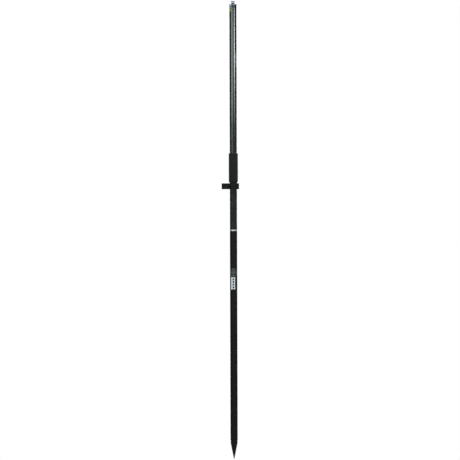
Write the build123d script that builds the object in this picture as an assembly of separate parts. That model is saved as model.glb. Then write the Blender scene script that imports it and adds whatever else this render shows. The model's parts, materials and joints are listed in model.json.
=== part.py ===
from build123d import *
import math
import os

# Two-piece 2 m survey rover pole with a clamp-on circular level, in millimetres.
# The origin is the tip of the ground point and +Z runs up the pole. The level's arm points
# towards -X, its clamp screw lies behind the pole at +Y, and the front of the pole faces -Y.

# ---- pole ----
POLE_LENGTH = 2000.0            # ground contact to antenna plane
JOINT_HEIGHT = 1001.5           # middle of the screw joint between the two sections
TUBE_R = 31.75 / 2              # 1.25 in carbon tube
TUBE_WALL = 1.9
TUBE_BORE_R = TUBE_R - TUBE_WALL

# ---- fits ----
GLUE_GAP = 0.05                 # bonded plug in a tube, radial
RUNNING_GAP = 0.05              # parts that turn or slide in each other, radial
LOCKED_GAP = 0.01               # threads and pins fixed with locking compound, radial
OVERCUT = 1.0                   # how far a cutter runs past the faces it opens

# ---- 5/8-11 threads, drawn at their major diameter ----
STUD_R = 15.875 / 2
STUD_CHAMFER = 0.8
STUD_BORE_R = STUD_R + RUNNING_GAP
STUD_LOCK_BORE_R = STUD_R + LOCKED_GAP
CROSS_PIN_R = 2.0
CROSS_PIN_LENGTH = 27.6

# ---- screw joint in the middle ----
WASHER_THICKNESS = 1.0
LOWER_FLANGE = 2.6              # black flange on the lower section
UPPER_FLANGE = 6.1              # bright ring on the upper section
LOWER_FACE = JOINT_HEIGHT - WASHER_THICKNESS / 2
UPPER_FACE = JOINT_HEIGHT + WASHER_THICKNESS / 2
LOWER_TUBE_TOP = LOWER_FACE - LOWER_FLANGE
UPPER_TUBE_FOOT = UPPER_FACE + UPPER_FLANGE
WASHER_R = 15.4
WASHER_BORE_R = STUD_R + 0.2
FERRULE_DEPTH = 60.0            # length of each ferrule inside its tube
SOCKET_DEPTH = 33.5             # depth of the threaded hole in the lower ferrule
LEAD_IN = 0.8
JOINT_STUD_OUT = 25.0           # how far the stud stands out below the upper flange
JOINT_STUD_IN = 34.5
JOINT_PIN_HEIGHT = UPPER_FACE + 20.0

# ---- top of the pole ----
PLUG_EXPOSED = 16.5
UPPER_TUBE_TOP = POLE_LENGTH - PLUG_EXPOSED
PLUG_DEPTH = 50.0
TOP_STUD_OUT = 15.0
TOP_STUD_IN = 42.0
TOP_SHANK_R = 7.0               # plain shank of the top stud inside the plug
TOP_MOUTH_R = 8.2               # countersink round the foot of the stud
TOP_MOUTH = 1.2
TOP_PIN_HEIGHT = POLE_LENGTH - 30.0
PLUG_CHAMFER = 0.6

# ---- hand grip and label ----
GRIP_FOOT = 1212.3
GRIP_TOP = 1344.2
GRIP_R = 20.25
GRIP_FOOT_R = 16.9
GRIP_TAPER = 10.0
GRIP_TOP_ROUND = 3.2
GRIP_SHOULDER_ROUND = 3.0
LABEL_FOOT = 1968.0
LABEL_TOP = 1983.0
LABEL_THICKNESS = 0.12
LABEL_FROM = 145.0              # degrees anticlockwise from +X, seen from above
LABEL_TO = 235.0

# ---- ground point ----
NECK_R = 15.1
LOWER_TUBE_FOOT = 82.0
SOCKET_FLANGE = 3.0
SOCKET_FACE = LOWER_TUBE_FOOT - SOCKET_FLANGE
POINT_FACE = SOCKET_FACE - WASHER_THICKNESS
POINT_WASHER_R = 14.6
POINT_SOCKET_DEPTH = 30.0
POINT_FERRULE_DEPTH = 60.0
CONE_TOP = 66.0
CONE_TOP_R = 14.3
COLLAR_FOOT = 68.5
TIP_LENGTH = 18.0
TIP_END_R = 1.2
TIP_EDGE = 0.5
TIP_SHANK_R = 2.5
TIP_SHANK_LENGTH = 16.0
POINT_STUD_OUT = 24.0
POINT_STUD_IN = 28.0

# ---- level clamp on the upper tube ----
CLAMP_FOOT = 1186.0
CLAMP_TOP = GRIP_FOOT - 0.3
CLAMP_MIDDLE = (CLAMP_FOOT + CLAMP_TOP) / 2
LINER_BORE_R = TUBE_R + RUNNING_GAP
LINER_R = LINER_BORE_R + 1.0
LINER_FLANGE_R = 17.9
LINER_FLANGE = 1.0
CLAMP_BORE_R = LINER_R + RUNNING_GAP
FLANGE_POCKET_R = LINER_FLANGE_R + 0.1
FLANGE_POCKET = LINER_FLANGE + 0.1
SLIT = 3.0
COLLAR_R = 22.0
PAD_LEFT, PAD_RIGHT = -14.0, 25.0
PAD_FRONT, PAD_BACK = -20.0, 6.0
PAD_CORNER_R = 4.0
EDGE_BREAK = 0.6
EAR_REACH = 37.0                # +Y end of the clamp ears
EAR_HALF_WIDTH = 11.0           # outer faces of the ears, along X
EAR_HALF_HEIGHT = 10.0
EAR_ROUND = 6.5

# ---- M6 clamp screw along X, behind the pole ----
SCREW_Y = 30.0
SCREW_R = 3.0
SCREW_CLEAR_R = 3.2
SCREW_TAP_R = SCREW_R + RUNNING_GAP
SCREW_END = -13.0
NUT_ACROSS_FLATS = 10.0
NUT_THICKNESS = 5.0
THRUST_WASHER_R = 6.0
KNOB_BOSS = 1.5
KNOB_BOSS_R = 6.0
KNOB_R = 9.0
KNOB_END = 24.5
KNOB_FLUTES = 8
KNOB_FLUTE_R = 2.2
KNOB_FLUTE_PITCH_R = 10.2
KNOB_ROUND = 1.2
KNOB_SOCKET_END = 22.0

# ---- circular level in its cup ----
VIAL_X = -34.25
CUP_R = 17.25
CUP_BORE_R = 14.25
CUP_FLOOR = CLAMP_FOOT + 5.0
NECK_HALF_WIDTH = 13.0
NECK_STEP = 1.2
RING_R = 15.15
RING_POCKET_R = RING_R + RUNNING_GAP
RING_POCKET = 3.0
RING_BORE_R = 11.6
RING_FOOT = CLAMP_TOP - 2.5
RING_TOP = CLAMP_TOP - 0.3
RING_NOTCH = 2.0
RING_NOTCHES = 4
CASE_R = 13.6
CASE_BORE_R = 11.0
CASE_FOOT = CUP_FLOOR + 0.85
CASE_FLOOR = 2.0
CASE_TOP = CLAMP_TOP - 4.7
SPRING_R = 13.7
SPRING_BORE_R = 11.9
SPRING_FOOT = CASE_TOP + 0.5
SPRING_TOP = SPRING_FOOT + 1.2
BACKING_THICKNESS = 0.4
CAPSULE_R = CASE_BORE_R - 0.1
CAPSULE_FOOT = CASE_FOOT + CASE_FLOOR + BACKING_THICKNESS
CAPSULE_FLOOR = 1.75
CAPSULE_TOP = CASE_TOP - 0.8
CHAMBER_R = 9.2
CHAMBER_FOOT = CAPSULE_FOOT + CAPSULE_FLOOR
CHAMBER_TOP = CAPSULE_TOP - 4.2
FILM = 0.05                     # gap drawn between the liquid and its capsule
BUBBLE_R = 2.6
BUBBLE_HEIGHT = 1.0
BUBBLE_TOP = CHAMBER_TOP - 0.25
BUBBLE_TRAVEL = 3.0
BUBBLE_ROUND = 0.45
BUBBLE_CLEARANCE = 0.1
CIRCLE_R = 3.7                  # printed target circle on top of the capsule
CIRCLE_WIDTH = 0.35
CIRCLE_THICKNESS = 0.12
FILLER_R = 1.5

# ---- three M3 adjusting screws under the level ----
ADJUST_PITCH_R = 9.5
ADJUST_R = 1.5
ADJUST_HEAD_R = 2.75
ADJUST_HEAD = 2.0
ADJUST_POCKET_R = 3.1
ADJUST_POCKET = 2.5
ADJUST_TIP = CASE_FOOT - 0.35
ADJUST_HEX = 2.0
ADJUST_HEX_DEPTH = 1.2
ADJUST_ANGLES = {"a": 180.0, "b": 60.0, "c": -60.0}


def rod(radius, low, high, x=0.0, y=0.0):
    """Upright cylinder between two heights."""
    upright = (Align.CENTER, Align.CENTER, Align.MIN)
    return Pos(x, y, low) * Cylinder(radius, high - low, align=upright)


def sleeve(outer_r, inner_r, low, high, x=0.0):
    """Upright tube between two heights."""
    return rod(outer_r, low, high, x) - rod(inner_r, low - OVERCUT, high + OVERCUT, x)


def turned(corners):
    """Solid turned about the pole axis from its (radius, height) corners."""
    outline = Polyline(*[(radius, 0, height) for radius, height in corners], close=True)
    return revolve(make_face(outline), Axis.Z)


def block(x_low, x_high, y_low, y_high, z_low, z_high):
    """Box between two opposite corners."""
    centre = Pos((x_low + x_high) / 2, (y_low + y_high) / 2, (z_low + z_high) / 2)
    return centre * Box(x_high - x_low, y_high - y_low, z_high - z_low)


def bar_x(radius, x_low, x_high, y=SCREW_Y, z=CLAMP_MIDDLE):
    """Cylinder along X on the clamp screw's axis."""
    along_x = Pos(x_low, y, z) * Rot(0, 90, 0)
    return along_x * Cylinder(radius, x_high - x_low, align=(Align.CENTER, Align.CENTER, Align.MIN))


def hexagon_radius(across_flats):
    """Corner radius of a hexagon from its width across flats."""
    return across_flats / 2 / math.cos(math.pi / 6)


def cross_pin(height, radius=CROSS_PIN_R, length=CROSS_PIN_LENGTH):
    """Pin along X through the pole axis."""
    return Pos(0, 0, height) * Rot(0, 90, 0) * Cylinder(radius, length)


# ---- lower section ----

def lower_tube():
    """Carbon tube from the point socket to the screw joint."""
    return sleeve(TUBE_R, TUBE_BORE_R, LOWER_TUBE_FOOT, LOWER_TUBE_TOP)


def lower_ferrule():
    """Bonded plug with the female thread; its black flange covers the end of the tube."""
    plug_r = TUBE_BORE_R - GLUE_GAP
    plug = rod(plug_r, LOWER_TUBE_TOP - FERRULE_DEPTH, LOWER_TUBE_TOP)
    flange = rod(TUBE_R, LOWER_TUBE_TOP, LOWER_FACE)
    hole = rod(STUD_BORE_R, LOWER_FACE - SOCKET_DEPTH, LOWER_FACE + OVERCUT)
    mouth = turned([
        (0, LOWER_FACE - LEAD_IN),
        (STUD_BORE_R, LOWER_FACE - LEAD_IN),
        (STUD_BORE_R + LEAD_IN, LOWER_FACE),
        (0, LOWER_FACE),
    ])
    return plug + flange - hole - mouth


def point_socket():
    """Bonded plug at the foot of the tube, threaded for the ground point."""
    plug_r = TUBE_BORE_R - GLUE_GAP
    plug = rod(plug_r, LOWER_TUBE_FOOT, LOWER_TUBE_FOOT + POINT_FERRULE_DEPTH)
    flange = rod(NECK_R, SOCKET_FACE, LOWER_TUBE_FOOT)
    hole = rod(STUD_BORE_R, SOCKET_FACE - OVERCUT, SOCKET_FACE + POINT_SOCKET_DEPTH)
    return plug + flange - hole


def joint_washer():
    """Nylon thrust washer between the two flanges."""
    return sleeve(WASHER_R, WASHER_BORE_R, LOWER_FACE, UPPER_FACE)


# ---- upper section ----

def upper_tube():
    """Carbon tube from the screw joint to the top plug."""
    return sleeve(TUBE_R, TUBE_BORE_R, UPPER_TUBE_FOOT, UPPER_TUBE_TOP)


def upper_ferrule():
    """Bonded plug that holds the joint stud; its flange is the bright ring of the joint."""
    plug_r = TUBE_BORE_R - GLUE_GAP
    plug = rod(plug_r, UPPER_TUBE_FOOT, UPPER_TUBE_FOOT + FERRULE_DEPTH)
    flange = rod(TUBE_R, UPPER_FACE, UPPER_TUBE_FOOT)
    hole = rod(STUD_LOCK_BORE_R, UPPER_FACE - OVERCUT, UPPER_FACE + JOINT_STUD_IN)
    pin_hole = cross_pin(JOINT_PIN_HEIGHT, CROSS_PIN_R + LOCKED_GAP, 2 * TUBE_R)
    return plug + flange - hole - pin_hole


def threaded_stud(root, end):
    """Stud with its thread drawn at the major diameter; only its free end is chamfered."""
    chamfer_start = end - math.copysign(STUD_CHAMFER, end - root)
    return turned([
        (0, root),
        (STUD_R, root),
        (STUD_R, chamfer_start),
        (STUD_R - STUD_CHAMFER, end),
        (0, end),
    ])


def joint_stud():
    """Steel stud that screws the upper section into the lower one."""
    stud = threaded_stud(UPPER_FACE + JOINT_STUD_IN, UPPER_FACE - JOINT_STUD_OUT)
    return stud - cross_pin(JOINT_PIN_HEIGHT, CROSS_PIN_R + LOCKED_GAP)


def joint_stud_pin():
    """Roll pin that keeps the joint stud from turning in its ferrule."""
    return cross_pin(JOINT_PIN_HEIGHT)


def top_plug():
    """Aluminium plug whose upper face is the antenna plane."""
    plug_r = TUBE_BORE_R - GLUE_GAP
    body = turned([
        (0, UPPER_TUBE_TOP - PLUG_DEPTH),
        (plug_r, UPPER_TUBE_TOP - PLUG_DEPTH),
        (plug_r, UPPER_TUBE_TOP),
        (TUBE_R, UPPER_TUBE_TOP),
        (TUBE_R, POLE_LENGTH - PLUG_CHAMFER),
        (TUBE_R - PLUG_CHAMFER, POLE_LENGTH),
        (0, POLE_LENGTH),
    ])
    bore_r = TOP_SHANK_R + LOCKED_GAP
    hole = rod(bore_r, POLE_LENGTH - TOP_STUD_IN, POLE_LENGTH + OVERCUT)
    mouth = turned([
        (0, POLE_LENGTH - TOP_MOUTH),
        (bore_r, POLE_LENGTH - TOP_MOUTH),
        (TOP_MOUTH_R, POLE_LENGTH),
        (0, POLE_LENGTH),
    ])
    pin_hole = cross_pin(TOP_PIN_HEIGHT, CROSS_PIN_R + LOCKED_GAP, 2 * TUBE_R)
    return body - hole - mouth - pin_hole


def top_stud():
    """Steel stud that the antenna screws onto, on a plain shank that is fixed in the plug."""
    shank = rod(TOP_SHANK_R, POLE_LENGTH - TOP_STUD_IN, POLE_LENGTH)
    stud = shank + threaded_stud(POLE_LENGTH, POLE_LENGTH + TOP_STUD_OUT)
    return stud - cross_pin(TOP_PIN_HEIGHT, CROSS_PIN_R + LOCKED_GAP)


def top_stud_pin():
    """Roll pin that keeps the antenna stud from turning in its plug."""
    return cross_pin(TOP_PIN_HEIGHT)


def hand_grip():
    """Foam rubber sleeve, tapered at its foot and rounded at its top."""
    body = turned([
        (TUBE_R, GRIP_FOOT),
        (GRIP_FOOT_R, GRIP_FOOT),
        (GRIP_R, GRIP_FOOT + GRIP_TAPER),
        (GRIP_R, GRIP_TOP),
        (TUBE_R, GRIP_TOP),
    ])
    rings = body.edges().filter_by(GeomType.CIRCLE)
    top_edge = rings.sort_by(Axis.Z)[-2:].sort_by(lambda ring: ring.radius)[-1]
    body = fillet(top_edge, GRIP_TOP_ROUND)
    shoulder = [
        ring for ring in body.edges().filter_by(GeomType.CIRCLE)
        if abs(ring.center().Z - GRIP_FOOT - GRIP_TAPER) < LOCKED_GAP
    ]
    return fillet(shoulder, GRIP_SHOULDER_ROUND)


def top_label():
    """Plain coloured label that wraps the left side of the tube under the plug."""
    band = sleeve(TUBE_R + LABEL_THICKNESS, TUBE_R, LABEL_FOOT, LABEL_TOP)
    reach = 2 * TUBE_R
    corners = [
        (reach * math.cos(math.radians(angle)), reach * math.sin(math.radians(angle)))
        for angle in (LABEL_FROM, (LABEL_FROM + LABEL_TO) / 2, LABEL_TO)
    ]
    wedge = make_face(Polyline((0, 0), *corners, close=True))
    return band & extrude(Pos(0, 0, LABEL_FOOT) * wedge, LABEL_TOP - LABEL_FOOT)


# ---- ground point ----

def cone_radius(height):
    """Radius of the ground point's cone at a height."""
    return TIP_END_R + (CONE_TOP_R - TIP_END_R) * height / CONE_TOP


def point_washer():
    """Nylon washer between the socket and the ground point."""
    return sleeve(POINT_WASHER_R, WASHER_BORE_R, POINT_FACE, SOCKET_FACE)


def point_body():
    """Cone of the ground point with its collar; holds the stud above and the tip below."""
    body = turned([
        (0, TIP_LENGTH),
        (cone_radius(TIP_LENGTH), TIP_LENGTH),
        (CONE_TOP_R, CONE_TOP),
        (NECK_R, COLLAR_FOOT),
        (NECK_R, POINT_FACE),
        (0, POINT_FACE),
    ])
    stud_hole = rod(STUD_LOCK_BORE_R, POINT_FACE - POINT_STUD_IN, POINT_FACE + OVERCUT)
    tip_hole = rod(TIP_SHANK_R + LOCKED_GAP, TIP_LENGTH - OVERCUT, TIP_LENGTH + TIP_SHANK_LENGTH)
    return body - stud_hole - tip_hole


def point_stud():
    """Steel stud that screws the ground point into its socket."""
    return threaded_stud(POINT_FACE - POINT_STUD_IN, POINT_FACE + POINT_STUD_OUT)


def point_tip():
    """Hardened tip pressed into the cone."""
    head = turned([
        (0, 0),
        (TIP_END_R - TIP_EDGE, 0),
        (cone_radius(TIP_EDGE), TIP_EDGE),
        (cone_radius(TIP_LENGTH), TIP_LENGTH),
        (0, TIP_LENGTH),
    ])
    return head + rod(TIP_SHANK_R, TIP_LENGTH, TIP_LENGTH + TIP_SHANK_LENGTH)


# ---- level clamp ----

def clamp_liner():
    """Split nylon bush with a small flange at each end; it slides along the tube."""
    body = sleeve(LINER_R, LINER_BORE_R, CLAMP_FOOT, CLAMP_TOP)
    body += sleeve(LINER_FLANGE_R, LINER_BORE_R, CLAMP_FOOT, CLAMP_FOOT + LINER_FLANGE)
    body += sleeve(LINER_FLANGE_R, LINER_BORE_R, CLAMP_TOP - LINER_FLANGE, CLAMP_TOP)
    slot = block(-SLIT / 2, SLIT / 2, 0, COLLAR_R, CLAMP_FOOT - OVERCUT, CLAMP_TOP + OVERCUT)
    return body - slot


def clamp_blank():
    """Outside of the clamp: collar, flat-fronted pad, cup, neck and ears."""
    height = CLAMP_TOP - CLAMP_FOOT
    collar = rod(COLLAR_R, CLAMP_FOOT, CLAMP_TOP)
    pad_plan = RectangleRounded(PAD_RIGHT - PAD_LEFT, PAD_BACK - PAD_FRONT, PAD_CORNER_R)
    pad_place = Pos((PAD_LEFT + PAD_RIGHT) / 2, (PAD_FRONT + PAD_BACK) / 2, CLAMP_FOOT)
    pad = pad_place * extrude(pad_plan, height)
    cup = rod(CUP_R, CLAMP_FOOT, CLAMP_TOP, VIAL_X)
    cup = chamfer(cup.edges().filter_by(GeomType.CIRCLE), EDGE_BREAK)
    neck = block(
        VIAL_X, 0, -NECK_HALF_WIDTH, NECK_HALF_WIDTH, CLAMP_FOOT + NECK_STEP, CLAMP_TOP - NECK_STEP
    )
    ears = block(
        -EAR_HALF_WIDTH, EAR_HALF_WIDTH, LINER_R, EAR_REACH,
        CLAMP_MIDDLE - EAR_HALF_HEIGHT, CLAMP_MIDDLE + EAR_HALF_HEIGHT,
    )
    ear_ends = ears.edges().filter_by(Axis.X).sort_by(Axis.Y)[-2:]
    barrel = collar + pad
    barrel = chamfer(barrel.faces().filter_by(Axis.Z).edges(), EDGE_BREAK)
    return barrel + cup + neck + fillet(ear_ends, EAR_ROUND)


def nut_prism(across_flats, x_low, x_high):
    """Hexagonal prism on the clamp screw's axis."""
    plan = RegularPolygon(hexagon_radius(across_flats), 6)
    return Pos(x_low, SCREW_Y, CLAMP_MIDDLE) * Rot(0, 90, 0) * extrude(plan, x_high - x_low)


def clamp_body():
    """One-piece bracket: split collar round the tube and the cup that holds the level."""
    low, high = CLAMP_FOOT - OVERCUT, CLAMP_TOP + OVERCUT
    body = clamp_blank()
    body -= rod(CLAMP_BORE_R, low, high)
    body -= rod(FLANGE_POCKET_R, low, CLAMP_FOOT + FLANGE_POCKET)
    body -= rod(FLANGE_POCKET_R, CLAMP_TOP - FLANGE_POCKET, high)
    body -= block(-SLIT / 2, SLIT / 2, 0, EAR_REACH + OVERCUT, low, high)
    body -= rod(CUP_BORE_R, CUP_FLOOR, high, VIAL_X)
    body -= rod(RING_POCKET_R, CLAMP_TOP - RING_POCKET, high, VIAL_X)
    body -= bar_x(SCREW_CLEAR_R, 0, EAR_HALF_WIDTH + OVERCUT)
    body -= bar_x(SCREW_TAP_R, -EAR_HALF_WIDTH - OVERCUT, 0)
    pocket_width = NUT_ACROSS_FLATS + 2 * RUNNING_GAP
    body -= nut_prism(pocket_width, -EAR_HALF_WIDTH - OVERCUT, NUT_THICKNESS - EAR_HALF_WIDTH)
    for angle in ADJUST_ANGLES.values():
        x, y = adjust_place(angle)
        body -= rod(ADJUST_R + RUNNING_GAP, low, CUP_FLOOR + OVERCUT, x, y)
        body -= rod(ADJUST_POCKET_R, low, CLAMP_FOOT + ADJUST_POCKET, x, y)
    return body


def clamp_nut():
    """Hexagonal nut held in the far ear."""
    nut = nut_prism(NUT_ACROSS_FLATS, -EAR_HALF_WIDTH, NUT_THICKNESS - EAR_HALF_WIDTH)
    return nut - bar_x(SCREW_TAP_R, -EAR_HALF_WIDTH - OVERCUT, 0)


def clamp_washer():
    """Steel washer between the near ear and the knob."""
    x_low = EAR_HALF_WIDTH
    washer = bar_x(THRUST_WASHER_R, x_low, x_low + WASHER_THICKNESS)
    return washer - bar_x(SCREW_CLEAR_R, x_low - OVERCUT, x_low + WASHER_THICKNESS + OVERCUT)


def clamp_screw():
    """M6 shank moulded into the knob."""
    return bar_x(SCREW_R, SCREW_END, KNOB_SOCKET_END)


def clamp_knob():
    """Fluted hand knob."""
    x_low = EAR_HALF_WIDTH + WASHER_THICKNESS
    rim_x = x_low + KNOB_BOSS
    rim = bar_x(KNOB_R, rim_x, KNOB_END)
    for number in range(KNOB_FLUTES):
        angle = math.tau * number / KNOB_FLUTES
        flute_y = SCREW_Y + KNOB_FLUTE_PITCH_R * math.cos(angle)
        flute_z = CLAMP_MIDDLE + KNOB_FLUTE_PITCH_R * math.sin(angle)
        rim -= bar_x(KNOB_FLUTE_R, rim_x - OVERCUT, KNOB_END + OVERCUT, flute_y, flute_z)
    rim = fillet(rim.faces().sort_by(Axis.X)[-1].edges(), KNOB_ROUND)
    knob = rim + bar_x(KNOB_BOSS_R, x_low, rim_x)
    return knob - bar_x(SCREW_R + LOCKED_GAP, x_low - OVERCUT, KNOB_SOCKET_END)


# ---- circular level ----

def adjust_place(angle):
    """X and Y of the adjusting screw at an angle about the level's axis."""
    turn = math.radians(angle)
    return VIAL_X + ADJUST_PITCH_R * math.cos(turn), ADJUST_PITCH_R * math.sin(turn)


def adjusting_screw(angle):
    """M3 socket screw under the level; its tip stops just short of the level's case."""
    x, y = adjust_place(angle)
    head_foot = CLAMP_FOOT + (ADJUST_POCKET - ADJUST_HEAD) / 2
    screw = rod(ADJUST_HEAD_R, head_foot, head_foot + ADJUST_HEAD, x, y)
    screw += rod(ADJUST_R, head_foot, ADJUST_TIP, x, y)
    socket = extrude(RegularPolygon(hexagon_radius(ADJUST_HEX), 6), ADJUST_HEX_DEPTH)
    return screw - Pos(x, y, head_foot) * socket


def retaining_ring():
    """Screwed ring that closes the cup, with notches for a pin spanner."""
    ring = sleeve(RING_R, RING_BORE_R, RING_FOOT, RING_TOP, VIAL_X)
    for number in range(RING_NOTCHES):
        turn = Pos(VIAL_X, 0, 0) * Rot(0, 0, 45 + 360 * number / RING_NOTCHES)
        notch = block(
            RING_BORE_R - OVERCUT, RING_BORE_R + RING_NOTCH, -RING_NOTCH / 2, RING_NOTCH / 2,
            RING_TOP - RING_NOTCH / 2, RING_TOP + OVERCUT,
        )
        ring -= turn * notch
    return ring


def wave_spring():
    """Spring that presses the level onto its three screws, drawn as a plain ring."""
    return sleeve(SPRING_R, SPRING_BORE_R, SPRING_FOOT, SPRING_TOP, VIAL_X)


def vial_case():
    """Metal case of the level."""
    floor = CASE_FOOT + CASE_FLOOR
    case = rod(CASE_R, CASE_FOOT, CASE_TOP, VIAL_X) - rod(CASE_BORE_R, floor, CASE_TOP + OVERCUT, VIAL_X)
    return case - rod(FILLER_R, CASE_FOOT - OVERCUT, floor + OVERCUT, VIAL_X)


def vial_backing():
    """White disc behind the liquid."""
    return sleeve(CAPSULE_R, FILLER_R, CASE_FOOT + CASE_FLOOR, CAPSULE_FOOT, VIAL_X)


def vial_capsule():
    """Clear acrylic body of the level, with a closed chamber for the liquid."""
    capsule = rod(CAPSULE_R, CAPSULE_FOOT, CAPSULE_TOP, VIAL_X)
    capsule -= rod(CHAMBER_R, CHAMBER_FOOT, CHAMBER_TOP, VIAL_X)
    return capsule - rod(FILLER_R, CAPSULE_FOOT - OVERCUT, CHAMBER_FOOT + OVERCUT, VIAL_X)


def filler_plug():
    """Plug that seals the filling hole of the capsule."""
    return rod(FILLER_R - LOCKED_GAP, CASE_FOOT, CHAMBER_FOOT, VIAL_X)


def bubble_track(radius, half_travel, low, high):
    """Upright solid swept by a disc that moves along X."""
    track = rod(radius, low, high, VIAL_X - half_travel) + rod(radius, low, high, VIAL_X + half_travel)
    return track + block(VIAL_X - half_travel, VIAL_X + half_travel, -radius, radius, low, high)


def vial_liquid():
    """Liquid in the capsule, open where the bubble runs."""
    liquid = rod(CHAMBER_R - FILM, CHAMBER_FOOT + FILM, CHAMBER_TOP - FILM, VIAL_X)
    low = BUBBLE_TOP - BUBBLE_HEIGHT - BUBBLE_CLEARANCE
    high = BUBBLE_TOP + BUBBLE_CLEARANCE
    return liquid - bubble_track(BUBBLE_R + BUBBLE_CLEARANCE, BUBBLE_TRAVEL, low, high)


def vial_bubble():
    """Air bubble, drawn as a flat round body."""
    bubble = rod(BUBBLE_R, BUBBLE_TOP - BUBBLE_HEIGHT, BUBBLE_TOP, VIAL_X)
    return fillet(bubble.edges().filter_by(GeomType.CIRCLE), BUBBLE_ROUND)


def target_circle():
    """Circle printed on the capsule; the bubble is centred in it."""
    return sleeve(CIRCLE_R, CIRCLE_R - CIRCLE_WIDTH, CAPSULE_TOP, CAPSULE_TOP + CIRCLE_THICKNESS, VIAL_X)


NODES = {
    "lower_tube": lower_tube,
    "lower_ferrule": lower_ferrule,
    "point_socket": point_socket,
    "joint_washer": joint_washer,
    "upper_tube": upper_tube,
    "upper_ferrule": upper_ferrule,
    "joint_stud": joint_stud,
    "joint_stud_pin": joint_stud_pin,
    "top_plug": top_plug,
    "top_stud": top_stud,
    "top_stud_pin": top_stud_pin,
    "hand_grip": hand_grip,
    "top_label": top_label,
    "point_washer": point_washer,
    "point_body": point_body,
    "point_stud": point_stud,
    "point_tip": point_tip,
    "clamp_liner": clamp_liner,
    "clamp_body": clamp_body,
    "clamp_nut": clamp_nut,
    "clamp_washer": clamp_washer,
    "clamp_screw": clamp_screw,
    "clamp_knob": clamp_knob,
    "retaining_ring": retaining_ring,
    "wave_spring": wave_spring,
    "vial_case": vial_case,
    "vial_backing": vial_backing,
    "vial_capsule": vial_capsule,
    "filler_plug": filler_plug,
    "vial_liquid": vial_liquid,
    "vial_bubble": vial_bubble,
    "target_circle": target_circle,
}

os.makedirs("parts", exist_ok=True)
for name, make in NODES.items():
    export_step(make(), f"parts/{name}.step")
for letter, angle in ADJUST_ANGLES.items():
    export_step(adjusting_screw(angle), f"parts/adjusting_screw_{letter}.step")
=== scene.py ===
import json
import math

import bmesh
import bpy
from mathutils import Matrix, Vector


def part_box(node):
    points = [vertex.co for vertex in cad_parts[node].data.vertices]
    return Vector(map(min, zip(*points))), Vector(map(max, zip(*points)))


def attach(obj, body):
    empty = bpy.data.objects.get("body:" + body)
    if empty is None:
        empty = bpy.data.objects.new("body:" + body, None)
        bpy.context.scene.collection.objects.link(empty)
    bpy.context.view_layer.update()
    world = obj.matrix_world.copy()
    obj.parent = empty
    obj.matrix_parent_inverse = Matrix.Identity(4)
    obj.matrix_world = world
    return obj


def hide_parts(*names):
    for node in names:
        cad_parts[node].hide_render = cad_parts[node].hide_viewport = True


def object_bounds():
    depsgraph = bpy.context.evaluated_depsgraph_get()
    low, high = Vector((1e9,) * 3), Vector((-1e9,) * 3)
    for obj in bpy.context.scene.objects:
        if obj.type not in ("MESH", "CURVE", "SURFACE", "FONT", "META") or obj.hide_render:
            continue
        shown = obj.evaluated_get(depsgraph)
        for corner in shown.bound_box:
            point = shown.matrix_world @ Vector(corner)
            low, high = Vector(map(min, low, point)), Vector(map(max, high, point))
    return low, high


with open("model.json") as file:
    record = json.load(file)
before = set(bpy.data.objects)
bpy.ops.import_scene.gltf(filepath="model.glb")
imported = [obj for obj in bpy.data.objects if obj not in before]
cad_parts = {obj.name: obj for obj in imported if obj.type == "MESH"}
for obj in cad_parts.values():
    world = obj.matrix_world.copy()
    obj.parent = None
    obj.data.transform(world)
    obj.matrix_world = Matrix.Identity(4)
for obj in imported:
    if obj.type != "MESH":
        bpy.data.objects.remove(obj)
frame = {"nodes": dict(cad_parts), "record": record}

# The looks of a two-piece survey pole with a clamp-on circular level. Lengths are millimetres
# until a mesh is finished, then metres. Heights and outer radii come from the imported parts.

CAD_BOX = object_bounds()
MM = 0.001
TAU = math.tau

# ---- threads and fineness
STUD_PITCH = 25.4 / 11
STUD_MAJOR, STUD_MINOR = 7.9375, 6.69
M6_PITCH, M6_MAJOR, M6_MINOR = 1.0, 3.0, 2.42
M3_PITCH, M3_MAJOR, M3_MINOR = 0.5, 1.5, 1.22
ROOT_FLAT, CREST_FLAT = 0.25, 0.875  # share of the pitch at which the flanks start and end
NUT_SHIFT = 0.08                     # how much narrower the female thread's root is
ROWS_PER_PITCH = 16                  # rows of faces in a turn of a 5/8-11 thread
ROWS_SMALL = 12                      # the same for M6 and M3

ROUND = 96  # segments of a plain turned part
ROUND_THREAD = 72
ROUND_SMALL = 48
SHARP_ANGLE = math.radians(32)


# ---- places taken from the frame

def heights(node):
    """Lowest and highest point of a CAD node."""
    low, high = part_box(node)
    return low.z / MM, high.z / MM


def half_width(node):
    """Half of a CAD node's size along Y, which is its outer radius where it is round."""
    low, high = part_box(node)
    return (high.y - low.y) / MM / 2


def middle(node):
    """Centre of a CAD node's box."""
    low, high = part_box(node)
    return (low + high) / 2 / MM


# ---- meshes

def finish_mesh(name, vertices, faces, place=None):
    """Mesh object from millimetre vertices, with outward normals and crisp edges kept sharp."""
    mesh = bpy.data.meshes.new(name)
    mesh.from_pydata(vertices, [], faces)
    if place is not None:
        mesh.transform(place)
    mesh.transform(Matrix.Scale(MM, 4))
    edit = bmesh.new()
    edit.from_mesh(mesh)
    bmesh.ops.recalc_face_normals(edit, faces=edit.faces)
    edit.to_mesh(mesh)
    edit.free()
    mesh.shade_smooth()
    mesh.set_sharp_from_angle(angle=SHARP_ANGLE)
    piece = bpy.data.objects.new(name, mesh)
    bpy.context.scene.collection.objects.link(piece)
    return piece


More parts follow.
